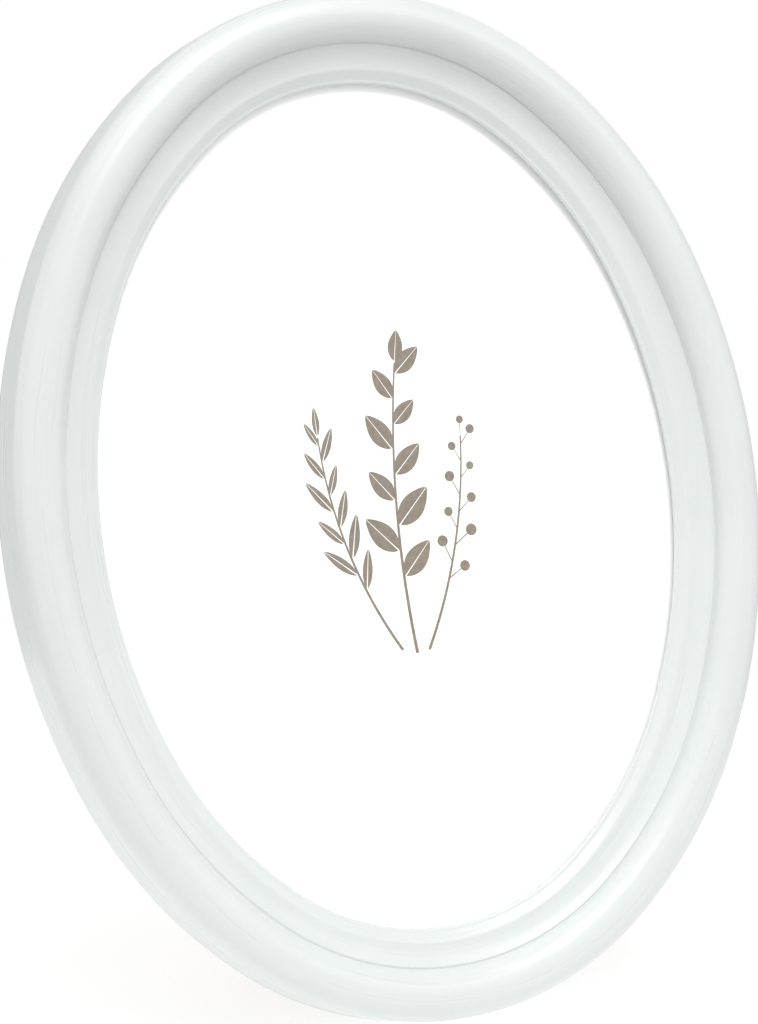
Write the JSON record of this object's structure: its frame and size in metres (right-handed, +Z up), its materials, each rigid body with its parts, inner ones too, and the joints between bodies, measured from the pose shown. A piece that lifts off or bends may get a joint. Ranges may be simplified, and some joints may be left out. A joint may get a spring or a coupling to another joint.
{
  "type": "oval picture frame",
  "caption": "Oval tabletop picture frame of white painted moulded wood with glass, a back held by turn buttons, a folding easel strut on a stay ribbon and a keyhole hanger.",
  "frame": {"origin": "on the surface the frame stands on, under the middle of its box, with the strut open", "axes": "+Z up, the picture faces -Y and leans back towards +Y, +X to the right of someone facing the picture"},
  "size_m": [0.182, 0.0772, 0.2265],
  "materials": {
    "white_paint": "satin white paint on wood",
    "bare_wood": "bare beech",
    "clear_glass": "clear float glass",
    "print_paper": "matt white print paper",
    "grey_card": "grey filler card",
    "fibreboard": "bare fibreboard",
    "zinc_steel": "zinc plated",
    "ribbon_cloth": "woven cotton tape"
  },
  "bodies": {
    "frame": {"frame_top": "white_paint", "frame_left": "white_paint", "frame_bottom": "white_paint", "frame_right": "white_paint", "joint_tenons": "bare_wood", "glass_pane": "clear_glass", "picture_print": "print_paper", "filler_card": "grey_card", "backing_board": "fibreboard", "turn_button_screws": "zinc_steel", "hinge_board_leaf": "zinc_steel", "hinge_board_rivets": "zinc_steel", "hinge_pin": "zinc_steel", "stay_ribbon": "ribbon_cloth", "ribbon_board_staple": "zinc_steel", "hanger_plate": "zinc_steel", "hanger_rivets": "zinc_steel"},
    "strut": {"strut_leg": "fibreboard", "hinge_strut_leaf": "zinc_steel", "hinge_strut_rivets": "zinc_steel", "ribbon_strut_staple": "zinc_steel"},
    "turn_button_upper_right": {"turn_button_upper_right": "zinc_steel"},
    "turn_button_upper_left": {"turn_button_upper_left": "zinc_steel"},
    "turn_button_lower_left": {"turn_button_lower_left": "zinc_steel"},
    "turn_button_lower_right": {"turn_button_lower_right": "zinc_steel"}
  },
  "joints": [
    {"name": "strut_fold", "type": "hinge", "parent": "frame", "child": "strut", "pos_m": [0, 0.01826, 0.1397], "axis": [1, 0, 0], "range_deg": [-22, 0], "deforming": ["stay_ribbon"]},
    {"name": "turn_button_upper_right_turn", "type": "hinge", "parent": "frame", "child": "turn_button_upper_right", "pos_m": [0.06664, 0.02541, 0.1741], "axis": [0, 0.9636, -0.2672], "continuous": true},
    {"name": "turn_button_upper_left_turn", "type": "hinge", "parent": "frame", "child": "turn_button_upper_left", "pos_m": [-0.06664, 0.02541, 0.1741], "axis": [0, 0.9636, -0.2672], "continuous": true},
    {"name": "turn_button_lower_left_turn", "type": "hinge", "parent": "frame", "child": "turn_button_lower_left", "pos_m": [-0.06664, -0.00936, 0.04872], "axis": [0, 0.9636, -0.2672], "continuous": true},
    {"name": "turn_button_lower_right_turn", "type": "hinge", "parent": "frame", "child": "turn_button_lower_right", "pos_m": [0.06664, -0.00936, 0.04872], "axis": [0, 0.9636, -0.2672], "continuous": true}
  ]
}
